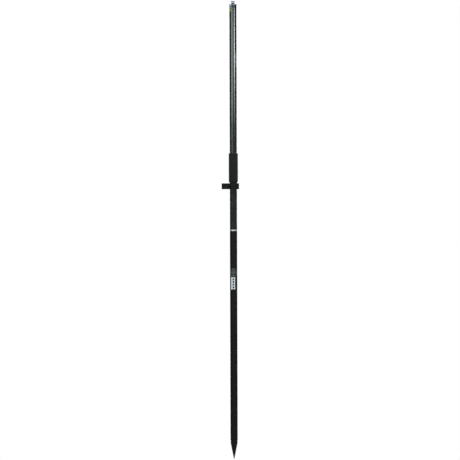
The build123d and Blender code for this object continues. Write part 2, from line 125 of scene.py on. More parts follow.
def softened(corners, steps=4):
    """Outline with its corners rounded. A corner is (radius, height) or (radius, height, cut)."""
    outline = []
    count = len(corners)
    for index, corner in enumerate(corners):
        here = Vector(corner[:2])
        if len(corner) == 2:
            outline.append(tuple(here))
            continue
        before = Vector(corners[index - 1][:2])
        after = Vector(corners[(index + 1) % count][:2])
        start = here + (before - here).normalized() * corner[2]
        end = here + (after - here).normalized() * corner[2]
        for step in range(steps + 1):
            t = step / steps
            point = start * (1 - t) ** 2 + here * 2 * t * (1 - t) + end * t ** 2
            outline.append(tuple(point))
    return outline


def lathe(name, outline, segments=ROUND, reshape=None, centre=(0.0, 0.0), place=None):
    """Turn an outline of (radius, height) points about an upright axis. An outline that starts and
    ends on the axis gives a solid body, any other is closed on itself and gives a ring."""
    solid = outline[0][0] == 0 and outline[-1][0] == 0
    rings = outline[1:-1] if solid else outline
    vertices = []
    for radius, height in rings:
        for step in range(segments):
            angle = TAU * step / segments
            r, z = reshape(angle, radius, height) if reshape else (radius, height)
            vertices.append((centre[0] + r * math.cos(angle), centre[1] + r * math.sin(angle), z))
    faces = []
    for ring in range(len(rings) - 1 if solid else len(rings)):
        here = ring * segments
        above = (ring + 1) % len(rings) * segments
        for step in range(segments):
            after = (step + 1) % segments
            faces.append((here + step, here + after, above + after, above + step))
    if solid:
        for height, first in ((outline[0][1], 0), (outline[-1][1], (len(rings) - 1) * segments)):
            pole = len(vertices)
            vertices.append((centre[0], centre[1], height))
            for step in range(segments):
                faces.append((first + step, first + (step + 1) % segments, pole))
    return finish_mesh(name, vertices, faces, place)


def stretch(radius, low, high, pitch):
    """Rows of an outline close enough together for a thread or a knurl, upwards or downwards."""
    rows = max(2, round(abs(high - low) / pitch))
    return [(radius, low + (high - low) * row / rows) for row in range(rows + 1)]


def thread_radius(angle, height, pitch, minor, major, shift=0.0):
    """Radius of a right-handed thread with a flat root, straight flanks and a flat crest."""
    phase = (height / pitch - angle / TAU) % 1
    rise = (abs(2 * phase - 1) - ROOT_FLAT + shift) / (CREST_FLAT - ROOT_FLAT)
    return minor + (major - minor) * min(1.0, max(0.0, rise))


def diamond(angle, height, count, pitch, width):
    """How deep a crossed groove is at a point of a cylinder, from 0 on a diamond to 1 in a groove."""
    around = angle / TAU * count
    depth = 0.0
    for lean in (1, -1):
        offset = abs((around + lean * height / pitch) % 1 - 0.5)
        depth = max(depth, 1 - (0.5 - offset) / width)
    return depth


def hexagon(angle, flat_radius):
    """Radius of a hexagon with a corner at angle 0."""
    sixth = TAU / 6
    return flat_radius / math.cos(angle % sixth - sixth / 2)


def along_x(x, y, z):
    """Place for a piece built upright at the origin whose axis is to lie along X."""
    return Matrix.Translation((x, y, z)) @ Matrix.Rotation(TAU / 4, 4, "Y")


def on_tube(radius, arc, height):
    """Point of a cylinder from its distance round it, measured from the front, and its height."""
    angle = arc / radius - TAU / 4
    return radius * math.cos(angle), radius * math.sin(angle), height


PRINT_SINK, PRINT_RISE = 0.05, 0.06  # how deep and how proud a printed mark is


def bridge(faces, a, b):
    """Faces between two sections of a printed plate, each given by the first of its four corners."""
    for one, two in ((0, 1), (1, 3), (3, 2), (2, 0)):
        faces.append((a + one, a + two, b + two, b + one))


def add_patch(vertices, faces, radius, arc, z, width, height, corner, columns=20):
    """Closed thin plate wrapped on a tube: a rectangle with rounded corners, by its middle."""
    levels = (radius - PRINT_SINK, radius + PRINT_RISE)
    start = len(vertices)
    for column in range(columns + 1):
        reach = width * (column / columns - 0.5)
        inset = max(0.0, corner - (width / 2 - abs(reach)))
        trim = corner - math.sqrt(corner * corner - inset * inset)
        for level in levels:
            for side in (-1, 1):
                x, y, _ = on_tube(radius, arc + reach, 0)
                scale = level / radius
                vertices.append((x * scale, y * scale, z + side * (height / 2 - trim)))
    for column in range(columns):
        bridge(faces, start + 4 * column, start + 4 * column + 4)
    last = start + 4 * columns
    faces.append((start, start + 1, start + 3, start + 2))
    faces.append((last, last + 2, last + 3, last + 1))


def add_hoop(vertices, faces, radius, arc, z, outer, inner, segments=64):
    """Closed thin ring wrapped on a tube, by its middle and its outer and inner radius."""
    start = len(vertices)
    for step in range(segments):
        turn = TAU * step / segments
        for reach in (inner, outer):
            x, y, height = on_tube(radius, arc + reach * math.cos(turn), z + reach * math.sin(turn))
            for level in (radius - PRINT_SINK, radius + PRINT_RISE):
                vertices.append((x * level / radius, y * level / radius, height))
    for step in range(segments):
        bridge(faces, start + 4 * step, start + 4 * ((step + 1) % segments))


# ---- materials

def add(tree, kind, inputs=None, **settings):
    """Add a shader node. Its inputs are given by name or number, as values or output sockets."""
    node = tree.nodes.new("ShaderNode" + kind)
    for key, value in settings.items():
        setattr(node, key, value)
    for key, value in (inputs or {}).items():
        put(tree, node.inputs[key], value)
    return node


def put(tree, socket, value):
    """Set an input socket to a value, or link an output socket to it."""
    if isinstance(value, bpy.types.NodeSocket):
        tree.links.new(value, socket)
    else:
        socket.default_value = value


def calc(tree, operation, *values):
    """Output of a Math node."""
    return add(tree, "Math", dict(enumerate(values)), operation=operation).outputs[0]


def ramp(tree, value, low, high, to_low=0.0, to_high=1.0):
    """Output of a Map Range node, clamped."""
    inputs = {"Value": value, "From Min": low, "From Max": high, "To Min": to_low, "To Max": to_high}
    return add(tree, "MapRange", inputs).outputs[0]


def blend(tree, factor, first, second):
    """Mix two colours, each a socket or an (r, g, b, 1) value."""
    node = add(tree, "Mix", data_type="RGBA")
    put(tree, node.inputs["Factor"], factor)
    put(tree, node.inputs[6], first)
    put(tree, node.inputs[7], second)
    return node.outputs[2]


def grey(level, tint=(1.0, 1.0, 1.0)):
    """Colour of a brightness with a tint."""
    return (level * tint[0], level * tint[1], level * tint[2], 1.0)


def new_material(name, **inputs):
    """Material with a Principled shader, whose inputs are given with _ for a space."""
    material = bpy.data.materials.new(name)
    material.use_nodes = True
    tree = material.node_tree
    shader = tree.nodes["Principled BSDF"]
    for key, value in inputs.items():
        put(tree, shader.inputs[key.replace("_", " ")], value)
    return material, tree, shader


def hypotenuse(tree, first, second):
    """Output of nodes that take the root of two squares' sum."""
    squares = [calc(tree, "MULTIPLY", value, value) for value in (first, second)]
    return calc(tree, "SQRT", calc(tree, "ADD", *squares))


def place_of(tree, centre=(0, 0, 0)):
    """X, Y and Z in millimetres from a centre, and the distance from the upright axis there."""
    coordinate = add(tree, "TexCoord").outputs["Object"]
    shift = add(tree, "VectorMath", {0: coordinate, 1: [c * MM for c in centre]}, operation="SUBTRACT")
    scaled = add(tree, "VectorMath", {0: shift.outputs[0], "Scale": 1 / MM}, operation="SCALE")
    split = add(tree, "SeparateXYZ", {0: scaled.outputs[0]})
    x, y, z = split.outputs
    return scaled.outputs[0], x, y, z, hypotenuse(tree, x, y)


def noise(tree, vector, scale, detail=2.0, roughness=0.5):
    """Noise value of a vector that is in millimetres."""
    inputs = {"Vector": vector, "Scale": scale, "Detail": detail, "Roughness": roughness}
    return add(tree, "TexNoise", inputs).outputs[0]


def stretched(tree, x, y, z):
    """Vector from three values."""
    return add(tree, "CombineXYZ", {0: x, 1: y, 2: z}).outputs[0]


def bumped(tree, shader, height, strength, depth, socket="Normal"):
    """Drive a shader's normal with a height, whose full range stands for a depth in millimetres."""
    bump = add(tree, "Bump", {"Height": height, "Strength": strength, "Distance": depth * MM})
    put(tree, shader.inputs[socket], bump.outputs[0])


def tube_place(tree):
    """The millimetre vector, the share of a full turn round the pole, and the height."""
    vector, x, y, z, _ = place_of(tree)
    turn = calc(tree, "DIVIDE", calc(tree, "ARCTAN2", y, x), TAU)
    return vector, turn, z


TOWS = 48  # carbon tows round the woven tube
TOW_HEIGHT = 2.08
WOUND_TOWS = 16    # slanting tows round the wound tube
WOUND_RISE = 11.0  # height over which one of them moves round by its width


def carbon_twill():
    """Glossy clear coat over a 2 x 2 twill of carbon tows, its lengthwise tows lighter as a painted
    sheen.
    """
    material, tree, shader = new_material(
        "carbon_twill", Coat_Weight=1.0, Coat_Roughness=0.09, Coat_IOR=1.5, Roughness=0.42,
        Specular_IOR_Level=0.08,
    )
    vector, turn, z = tube_place(tree)
    u = calc(tree, "MULTIPLY", turn, TOWS)
    v = calc(tree, "DIVIDE", z, TOW_HEIGHT)
    step = calc(tree, "ADD", calc(tree, "FLOOR", u), calc(tree, "FLOOR", v))
    over = calc(tree, "LESS_THAN", calc(tree, "FLOORED_MODULO", step, 4.0), 2.0)
    crown_u = calc(tree, "PINGPONG", u, 0.5)
    crown_v = calc(tree, "PINGPONG", v, 0.5)
    crown = add(tree, "Mix", {"Factor": over, 2: crown_v, 3: crown_u}).outputs[0]
    long_fibre = noise(tree, stretched(tree, calc(tree, "MULTIPLY", u, 9.0), 0.0, v), 1.0)
    cross_fibre = noise(tree, stretched(tree, u, 0.0, calc(tree, "MULTIPLY", v, 9.0)), 1.0)
    fibre = add(tree, "Mix", {"Factor": over, 2: cross_fibre, 3: long_fibre}).outputs[0]
    # The weave and fibre streaks are the tube's own tone. The lengthwise tows' extra lightness is a
    # painted sheen of their fibre direction.
    shade = calc(tree, "ADD", calc(tree, "MULTIPLY", over, 0.45), calc(tree, "MULTIPLY", fibre, 0.7))
    dark, light = grey(0.005, (0.9, 1.0, 1.0)), grey(0.026, (0.94, 1.0, 1.0))
    put(tree, shader.inputs["Base Color"], blend(tree, ramp(tree, shade, 0.15, 0.95), dark, light))
    put(tree, shader.inputs["Roughness"], ramp(tree, fibre, 0.2, 0.8, 0.34, 0.52))
    bumped(tree, shader, calc(tree, "ADD", ramp(tree, crown, 0.0, 0.3), fibre), 0.5, 0.05)
    haze = ramp(tree, noise(tree, vector, 0.035, 3.0), 0.35, 0.7, 0.07, 0.14)
    put(tree, shader.inputs["Coat Roughness"], haze)
    return material


def carbon_wound():
    """Satin carbon tube with the slanting bands of its wound tows."""
    material, tree, shader = new_material(
        "carbon_wound", Coat_Weight=0.27, Coat_Roughness=0.3, Coat_IOR=1.45, Roughness=0.5,
        Specular_IOR_Level=0.08,
    )
    vector, turn, z = tube_place(tree)
    around = calc(tree, "MULTIPLY", turn, WOUND_TOWS)
    rise = calc(tree, "DIVIDE", z, WOUND_RISE)
    left = calc(tree, "ADD", around, rise)
    right = calc(tree, "SUBTRACT", around, rise)
    crossing = calc(tree, "ADD", calc(tree, "FLOOR", left), calc(tree, "FLOOR", right))
    over = calc(tree, "FLOORED_MODULO", crossing, 2.0)
    band = add(tree, "Mix", {"Factor": over, 2: left, 3: right}).outputs[0]
    across = calc(tree, "PINGPONG", band, 0.5)
    fibre = noise(tree, stretched(tree, calc(tree, "MULTIPLY", band, 14.0), over, 0.0), 1.0, 3.0)
    shade = calc(tree, "ADD", calc(tree, "MULTIPLY", over, 0.3), calc(tree, "MULTIPLY", fibre, 0.7))
    dark, light = grey(0.003), grey(0.011, (1.0, 1.0, 0.96))
    put(tree, shader.inputs["Base Color"], blend(tree, ramp(tree, shade, 0.2, 0.9), dark, light))
    scuff = ramp(tree, noise(tree, vector, 0.12, 4.0), 0.45, 0.75, 0.46, 0.62)
    put(tree, shader.inputs["Roughness"], scuff)
    bumped(tree, shader, calc(tree, "ADD", ramp(tree, across, 0.0, 0.12), fibre), 0.4, 0.03)
    return material


def turned_metal(name, colour, roughness, groove, centre=(0, 0, 0), lie=False, wear=0.0, metallic=1.0):
    """Metal with fine turning marks that run round an upright axis, or one along X if it lies."""
    material, tree, shader = new_material(name, Metallic=metallic)
    vector, x, y, z, radius = place_of(tree, centre)
    along = z
    if lie:
        along, radius = x, hypotenuse(tree, z, y)
    marks = noise(tree, stretched(tree, radius, along, 0.0), 1 / groove, 3.0)
    cloud = noise(tree, vector, 0.3, 3.0)
    bright = tuple(min(1.0, c * 1.1) for c in colour[:3]) + (1.0,)
    dull = tuple(c * 0.86 for c in colour[:3]) + (1.0,)
    base = blend(tree, ramp(tree, calc(tree, "ADD", marks, cloud), 0.7, 1.3), dull, bright)
    if wear:
        base = worn(tree, vector, base, shader, wear, metallic)
    put(tree, shader.inputs["Base Color"], base)
    put(tree, shader.inputs["Roughness"], ramp(tree, marks, 0.3, 0.7, roughness * 0.75, roughness * 1.3))
    bumped(tree, shader, marks, 0.35, groove * 0.12)
    return material


def worn(tree, vector, base, shader, radius, metallic):
    """Lay bare metal on the edges: a mask where the rounded normal leaves the true one."""
    round_normal = add(tree, "Bevel", {"Radius": radius * MM}, samples=6).outputs[0]
    flat_normal = add(tree, "NewGeometry").outputs["Normal"]
    facing = add(tree, "VectorMath", {0: round_normal, 1: flat_normal}, operation="DOT_PRODUCT")
    edge = ramp(tree, facing.outputs["Value"], 0.999, 0.93)
    chips = ramp(tree, noise(tree, vector, 0.9, 4.0, 0.6), 0.57, 0.74)
    mask = calc(tree, "MULTIPLY", edge, chips)
    put(tree, shader.inputs["Metallic"], ramp(tree, mask, 0.0, 1.0, metallic, 1.0))
    return blend(tree, mask, base, grey(0.3, (1.0, 1.0, 1.02)))


def black_anodised():
    """Machined aluminium with satin black anodising, rubbed bright on its edges."""
    metallic, edge_radius = 0.15, 0.35
    material, tree, shader = new_material("black_anodised", Metallic=metallic, Specular_IOR_Level=0.17)
    vector, x, y, z, _ = place_of(tree)
    grain = noise(tree, vector, 6.0, 4.0, 0.6)
    brushed = stretched(tree, calc(tree, "MULTIPLY", x, 0.4), y, calc(tree, "MULTIPLY", z, 8.0))
    lines = noise(tree, brushed, 1.0)
    shade = calc(tree, "ADD", grain, calc(tree, "MULTIPLY", lines, 0.5))
    base = blend(tree, ramp(tree, shade, 0.5, 1.0), grey(0.003), grey(0.007, (0.95, 1.0, 1.0)))
    put(tree, shader.inputs["Base Color"], worn(tree, vector, base, shader, edge_radius, metallic))
    put(tree, shader.inputs["Roughness"], ramp(tree, grain, 0.3, 0.7, 0.36, 0.5))
    bumped(tree, shader, shade, 0.3, 0.03)
    return material


def foam_rubber():
    """Matt closed-cell rubber foam: tiny pores with painted shade in their pits, and a mottled skin."""
    material, tree, shader = new_material(
        "foam_rubber", Roughness=0.82, Specular_IOR_Level=0.25, Sheen_Weight=0.12, Sheen_Roughness=0.5
    )
    vector, *_ = place_of(tree)
    pores = add(tree, "TexVoronoi", {"Vector": vector, "Scale": 1.7}).outputs["Distance"]
    mottle = noise(tree, vector, 0.22, 4.0, 0.6)
    # Painted shade: the pits of the pores, where the bump is lowest, are darker. The mottle is random
    # tone.
    skin = calc(tree, "ADD", calc(tree, "MULTIPLY", pores, 0.5), mottle)
    base = blend(tree, ramp(tree, skin, 0.45, 1.05), grey(0.006), grey(0.015, (0.93, 1.0, 0.97)))
    put(tree, shader.inputs["Base Color"], base)
    put(tree, shader.inputs["Roughness"], ramp(tree, mottle, 0.3, 0.7, 0.72, 0.92))
    bumped(tree, shader, calc(tree, "ADD", pores, noise(tree, vector, 4.0, 3.0)), 0.5, 0.12)
    return material


def moulded(name, colour, roughness, grain, depth, coat=0.0):
    """Moulded plastic with a spark-eroded grain and slow variation of its colour."""
    material, tree, shader = new_material(name, Coat_Weight=coat, Coat_Roughness=0.15)
    vector, *_ = place_of(tree)
    pits = noise(tree, vector, grain, 3.0, 0.6)
    cloud = noise(tree, vector, 0.15, 2.0)
    dull = tuple(c * 0.82 for c in colour[:3]) + (1.0,)
    tone = calc(tree, "ADD", calc(tree, "MULTIPLY", pits, 0.4), calc(tree, "MULTIPLY", cloud, 0.6))
    put(tree, shader.inputs["Base Color"], blend(tree, ramp(tree, tone, 0.35, 0.65), dull, colour))
    put(tree, shader.inputs["Roughness"], ramp(tree, pits, 0.3, 0.7, roughness * 0.85, roughness * 1.15))
    bumped(tree, shader, pits, 0.45, depth)
    return material


def label_vinyl():
    """Yellow-green glossy vinyl with darker bars across it."""
    material, tree, shader = new_material(
        "label_vinyl", Coat_Weight=0.15, Coat_Roughness=0.12, Roughness=0.4,
    )
    vector, _, _, z, _ = place_of(tree)
    low, high = heights("top_label")
    share = ramp(tree, z, low, high)
    bars, half_bar = 3.0, 0.09
    to_bar = calc(tree, "PINGPONG", calc(tree, "MULTIPLY", share, bars), 0.5)
    bar = calc(tree, "COMPARE", to_bar, 0.5, half_bar)
    cloud = noise(tree, vector, 0.5, 3.0)
    lime = blend(tree, cloud, (0.24, 0.34, 0.012, 1.0), (0.31, 0.42, 0.02, 1.0))
    put(tree, shader.inputs["Base Color"], blend(tree, bar, lime, (0.06, 0.1, 0.012, 1.0)))
    put(tree, shader.inputs["Roughness"], ramp(tree, cloud, 0.3, 0.7, 0.28, 0.42))
    bumped(tree, shader, noise(tree, vector, 1.2, 2.0), 0.25, 0.03)
    return material


def printed(name, colour, bare, worn_share):
    """Screen-printed ink whose thin spots let the tube show through."""
    material, tree, shader = new_material(name, Roughness=0.45)
    vector, *_ = place_of(tree)
    fine = noise(tree, vector, 2.2, 4.0, 0.65)
    broad = noise(tree, vector, 0.25, 2.0)
    body = calc(tree, "ADD", fine, calc(tree, "MULTIPLY", broad, 0.4))
    cover = ramp(tree, body, worn_share, worn_share + 0.2)
    put(tree, shader.inputs["Base Color"], blend(tree, cover, bare, colour))
    put(tree, shader.inputs["Roughness"], ramp(tree, fine, 0.3, 0.7, 0.38, 0.55))
    bumped(tree, shader, fine, 0.3, 0.02)
    return material


def clear(name, colour, ior, roughness, swirl):
    """Clear body, with the faintest waviness of a polished or liquid surface."""
    material, tree, shader = new_material(name, Transmission_Weight=1.0, IOR=ior)
    vector, *_ = place_of(tree)
    wave = noise(tree, vector, swirl, 2.0)
    tint = tuple(c * 0.96 for c in colour[:3]) + (1.0,)
    put(tree, shader.inputs["Base Color"], blend(tree, wave, tint, colour))
    put(tree, shader.inputs["Roughness"], ramp(tree, wave, 0.3, 0.7, roughness * 0.5, roughness * 1.5))
    bumped(tree, shader, wave, 0.08, 0.02)
    return material


def stage_floor():
    """Plain pale floor with a trace of unevenness."""
    material, tree, shader = new_material("stage_floor", Roughness=0.7, Emission_Color=grey(1.0))
    vector, *_ = place_of(tree)
    tone = noise(tree, vector, 0.004, 2.0)
    put(tree, shader.inputs["Base Color"], blend(tree, tone, grey(0.82), grey(0.86)))
    seen = add(tree, "LightPath").outputs["Is Camera Ray"]
    put(tree, shader.inputs["Emission Strength"], calc(tree, "MULTIPLY", seen, 0.7))
    return material


vial_centre = middle("vial_case")
screw_centre = middle("clamp_washer")
ALUMINIUM = (0.66, 0.67, 0.66, 1.0)
STEEL = (0.42, 0.43, 0.44, 1.0)
TURNED_BLACK = (0.055, 0.057, 0.06, 1.0)
BLACKENED = (0.02, 0.02, 0.021, 1.0)
MATERIALS = {
    "carbon_gloss": carbon_twill(),
    "carbon_matte": carbon_wound(),
    "bare_aluminium": turned_metal("bare_aluminium", ALUMINIUM, 0.36, 0.22, metallic=0.6),
    "black_anodised": black_anodised(),
    "turned_black": turned_metal("turned_black", TURNED_BLACK, 0.4, 0.22),
    "steel": turned_metal("steel", STEEL, 0.24, 0.15),
    "steel_lying": turned_metal("steel_lying", STEEL, 0.24, 0.15, screw_centre, lie=True),
    "dark_steel": turned_metal("dark_steel", BLACKENED, 0.38, 0.2, vial_centre, wear=0.3, metallic=0.8),
    "foam_rubber": foam_rubber(),
    "black_nylon": moulded("black_nylon", grey(0.018), 0.5, 3.0, 0.03),
    "knob_plastic": moulded("knob_plastic", grey(0.02, (1.0, 1.0, 1.05)), 0.55, 2.4, 0.06),
    "label_vinyl": label_vinyl(),
    "brass": turned_metal("brass", (0.62, 0.43, 0.16, 1.0), 0.3, 0.12, vial_centre),
    "white_enamel": moulded("white_enamel", grey(0.8, (1.0, 1.0, 0.97)), 0.25, 1.0, 0.01, coat=0.5),
    "acrylic": clear("acrylic", (0.97, 1.0, 0.98, 1.0), 1.49, 0.01, 0.3),
    "liquid": clear("liquid", (0.82, 0.97, 0.36, 1.0), 1.33, 0.004, 0.1),
    "air": clear("air", (1.0, 1.0, 1.0, 1.0), 0.75, 0.004, 0.1),
    "print_black": printed("print_black", grey(0.012), grey(0.05), 0.3),
    "white_ink": printed("white_ink", grey(0.8, (0.93, 0.98, 1.0)), grey(0.05), 0.3),
    "grey_ink": printed("grey_ink", grey(0.36, (0.92, 1.0, 1.0)), grey(0.03), 0.36),
}

RECORD = frame["record"]
NODE_SLOT = {part["node"]: part["material_slot"] for part in RECORD["subparts"]}
NODE_BODY = {node: body for body, nodes in RECORD["behaviour"]["bodies"].items() for node in nodes}


def dress(piece, body, material):
    """Give a piece its material, its slot in the record and the body it moves with."""
    piece.data.materials.append(MATERIALS[material])
    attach(piece, body)


def stand_in(piece, node, material=None):
    """Let a piece stand for a CAD node, with the node's slot and body."""
    slot = NODE_SLOT[node]
    dress(piece, NODE_BODY[node], material or slot)
    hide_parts(node)


# ---- the pole

TUBE_R = half_width("upper_tube")
PLUG_R = TUBE_R - 1.95          # plugs bonded inside the tubes: wall 1.9, bond 0.05
EDGE = 0.35                     # rounding of a machined edge
STUD_END_R = STUD_MINOR - 0.45  # flat at a stud's end, inside its chamfer
SINK_R = STUD_MAJOR + 1.1       # mouth of a threaded hole's countersink
SOCKET_R = STUD_MAJOR + 0.01    # plain socket that a stud is fixed in
HIDDEN_R = STUD_MAJOR - 0.01    # part of a stud that is hidden in its socket
ANTENNA_SHANK_R = 7.0           # plain shank of the antenna stud


def stud_outline(root, end, inner_end, shank):
    """Outline of a stud: its hidden inner end, a plain shank, then close rows for the thread."""
    way = math.copysign(1.0, end - root)
    rows = stretch(STUD_MAJOR, root, end, STUD_PITCH / ROWS_PER_PITCH)
    dimple = [(1.6, end), (0.0, end - way * 1.3)]
    return [(0, inner_end), (shank, inner_end), (shank, root)] + rows + [(STUD_END_R, end)] + dimple


def stud_shape(root, end, shank):
    """Thread of a stud, run out at its root and chamfered at its end."""
    def reshape(angle, radius, height):
        if radius <= shank and radius != STUD_MAJOR:
            return radius, height
        ridge = thread_radius(angle, height, STUD_PITCH, STUD_MINOR, STUD_MAJOR)
        chamfer = STUD_END_R + abs(end - height) * 1.05
        relief = STUD_MINOR + max(0.0, abs(height - root) - 0.9) * 2.0
        return min(ridge, chamfer, max(relief, STUD_MINOR)), height
    return reshape


def make_stud(name, node, root, end, inner_end, shank):
    """Stud whose thread runs from its root to its end; the shank reaches to its inner end."""
    outline = stud_outline(root, end, inner_end, shank)
    piece = lathe(name, outline, ROUND_THREAD, stud_shape(root, end, shank))
    stand_in(piece, node)


def bore_rows(mouth, bottom):
    """Outline of a threaded hole: countersink, close rows, drill cone. It runs inwards."""
    way = math.copysign(1.0, bottom - mouth)
    rows = stretch(STUD_MAJOR, mouth + way * 0.3, bottom - way * 3.0, STUD_PITCH / ROWS_PER_PITCH)
    drilled = [(STUD_MINOR, bottom - way * 2.8), (STUD_MINOR, bottom - way * 0.8)]
    return [(SINK_R, mouth)] + rows + drilled + [(0, bottom + way * 1.6)]


def bore_shape(mouth):
    """Female thread: the same helix as the stud's with a small clearance, opened by a countersink."""
    def reshape(angle, radius, height):
        if radius != STUD_MAJOR:
            return radius, height
        minor, major = STUD_MINOR + 0.15, STUD_MAJOR + 0.06
        ridge = thread_radius(angle, height, STUD_PITCH, minor, major, NUT_SHIFT)
        opening = SINK_R - abs(height - mouth)
        return max(ridge, opening), height
    return reshape


def make_lower_ferrule():
    """Plug of the lower tube, with the lower flange of the joint and its threaded hole."""
    low, face = heights("lower_ferrule")
    shoulder = heights("lower_tube")[1]
    depth, relief_r = 33.5, PLUG_R - 0.5
    body = softened([
        (0, low), (PLUG_R, low, 1.0), (PLUG_R, shoulder - 1.2), (relief_r, shoulder - 1.0),
        (relief_r, shoulder), (TUBE_R, shoulder, 0.25), (TUBE_R, face, EDGE),
    ])
    outline = body + bore_rows(face, face - depth)
    stand_in(lathe("joint_ring_lower", outline, ROUND_THREAD, bore_shape(face)), "lower_ferrule")


def make_upper_ferrule():
    """Plug of the upper tube, with the bright flange of the joint and the stud's socket."""
    face, high = heights("upper_ferrule")
    shoulder = heights("upper_tube")[0]
    bottom = heights("joint_stud")[1]
    outline = softened([
        (0, high), (PLUG_R, high, 1.0), (PLUG_R, shoulder), (TUBE_R, shoulder, 0.1),
        (TUBE_R, face, EDGE), (SOCKET_R, face), (SOCKET_R, bottom), (0, bottom),
    ])
    stand_in(lathe("joint_ring_upper", outline), "upper_ferrule")


def make_point_socket():
    """Plug at the foot of the lower tube, with the threaded hole for the ground point."""
    face, high = heights("point_socket")
    shoulder = heights("lower_tube")[0]
    neck_r, depth = half_width("point_socket"), 30.0
    body = softened([
        (0, high), (PLUG_R, high, 1.0), (PLUG_R, shoulder), (neck_r, shoulder, 0.2), (neck_r, face, EDGE),
    ])
    outline = body + bore_rows(face, face + depth)
    stand_in(lathe("point_socket_turned", outline, ROUND_THREAD, bore_shape(face)), "point_socket")


def make_washer(name, node):
    """Flat washer round a 5/8-11 stud."""
    low, high = heights(node)
    outer, inner = half_width(node), STUD_MAJOR + 0.2
    outline = softened([
        (inner, low, 0.2), (outer, low, 0.25), (outer, high, 0.25), (inner, high, 0.2)
    ], 3)
    stand_in(lathe(name, outline), node)


def make_top_plug():
    """Plug whose face is the antenna plane, with a turned groove and a socket for the stud."""
    low, face = heights("top_plug")
    shoulder = heights("upper_tube")[1]
    bottom = heights("top_stud")[0]
    bore_r, mouth_r, groove_r = ANTENNA_SHANK_R + 0.01, 8.2, TUBE_R - 0.7
    neck = shoulder + (face - shoulder) * 0.34
    outline = softened([
        (0, low), (PLUG_R, low, 1.0), (PLUG_R, shoulder), (TUBE_R, shoulder, 0.3),
        (TUBE_R, neck - 0.9, 0.25), (groove_r, neck - 0.5, 0.2), (groove_r, neck + 0.5, 0.2),
        (TUBE_R, neck + 0.9, 0.25), (TUBE_R, face, 0.8),
        (mouth_r, face, 0.1), (bore_r, face - 1.2), (bore_r, bottom), (0, bottom),
    ])
    stand_in(lathe("antenna_plug", outline), "top_plug", "turned_black")


def make_grip():
    """Rubber grip with a band of crossed grooves near each end."""
    low, high = heights("hand_grip")
    outer = half_width("hand_grip")
    inner = TUBE_R + 0.02
    foot_r, taper, round_top = 16.9, 10.0, 3.2
    band, plain = 30.0, 6.0  # height of a grooved band and of the strip next to it
    groove_width, depth, row_pitch, around, lead = 0.26, 0.8, 0.6, 16, 15.8
    start, end = low + taper + 3.4, high - round_top - 2.0

    def reshape(angle, radius, height):
        reach = min(height - start, end - height)
        if radius < outer or not 0 <= reach <= band:
            return radius, height
        fade = min(1.0, reach / 1.5, (band - reach) / 1.5)
        cut = max(0.0, diamond(angle, height, around, lead, groove_width))
        return radius - depth * fade * cut, height

    outline = softened([(inner, low, 0.4), (foot_r, low, 0.9)], 4)[:10]
    outline += softened([(foot_r, low), (outer, low + taper, 3.0), (outer, high)], 8)[1:-1]
    outline += stretch(outer, start, start + band, row_pitch)
    outline += stretch(outer, start + band + plain, end - band - plain, 8.0)
    outline += stretch(outer, end - band, end, row_pitch)
    outline += softened([
        (outer, low), (outer, high, round_top), (inner, high, 0.5), (inner, low)
    ], 8)[1:-1]
    stand_in(lathe("grip_sleeve", outline, 192, reshape), "hand_grip")


def make_label():
    """Wrapped label on the left of the tube under the plug."""
    low, high = heights("top_label")
    vertices, faces = [], []
    arc, width = math.radians(-80) * TUBE_R, math.radians(90) * TUBE_R
    corner, columns = 2.0, 36
    add_patch(vertices, faces, TUBE_R, arc, (low + high) / 2, width, high - low, corner, columns)
    stand_in(finish_mesh("tube_label", vertices, faces), "top_label")


def make_mark(name, vertices, faces, body, ink):
    """Finish a printed mark. It stands for no CAD node."""
    dress(finish_mesh(name, vertices, faces), body, ink)


def make_front_mark():
    """Generic front mark: a plain ladder of white rails and rungs under two thin hoops and a dot."""
    foot, top = 744.5, 799.5
    arc = math.radians(-7) * TUBE_R
    vertices, faces = [], []
    for side, width in ((-6.6, 8.2), (6.2, 4.2)):
        add_patch(vertices, faces, TUBE_R, arc + side, (foot + top) / 2, width, top - foot, 1.5)
    rungs, rung_side, rung_pitch, rung_width, rung_height = 5, 0.8, 11.7, 6.6, 3.8
    for number in range(rungs):
        z = foot + 4.0 + number * rung_pitch
        add_patch(vertices, faces, TUBE_R, arc + rung_side, z, rung_width, rung_height, 0.1)
    make_mark("front_mark_ladder", vertices, faces, "lower_section", "white_ink")
    hoop_z, line, dot_r = 819.5, 1.4, 2.0
    vertices, faces = [], []
    for outer in (15.8, 7.5):
        add_hoop(vertices, faces, TUBE_R, arc, hoop_z, outer, outer - line)
    add_patch(vertices, faces, TUBE_R, arc, hoop_z, 2 * dot_r, 2 * dot_r, dot_r, 16)
    make_mark("front_mark_hoops", vertices, faces, "lower_section", "grey_ink")


def make_side_mark():
    """Generic column of short white dashes to the right of the front of the upper tube."""
    foot, top, pitch = 1723.0, 1785.0, 4.4
    widths, height, corner = (4.6, 3.4, 4.6, 2.6), 2.4, 0.5
    arc = math.radians(55) * TUBE_R
    vertices, faces = [], []
    for number in range(round((top - foot) / pitch)):
        width = widths[number % len(widths)]
        z = foot + (number + 0.5) * pitch
        add_patch(vertices, faces, TUBE_R, arc, z, width, height, corner, 8)
    make_mark("side_mark_dashes", vertices, faces, "upper_section", "white_ink")


# ---- the ground point

TIP_END_R, CONE_TOP_R, CONE_TOP = 1.2, 14.3, 66.0


def cone_radius(height):
    """Radius of the cone at a height above the ground contact."""
    return TIP_END_R + (CONE_TOP_R - TIP_END_R) * height / CONE_TOP


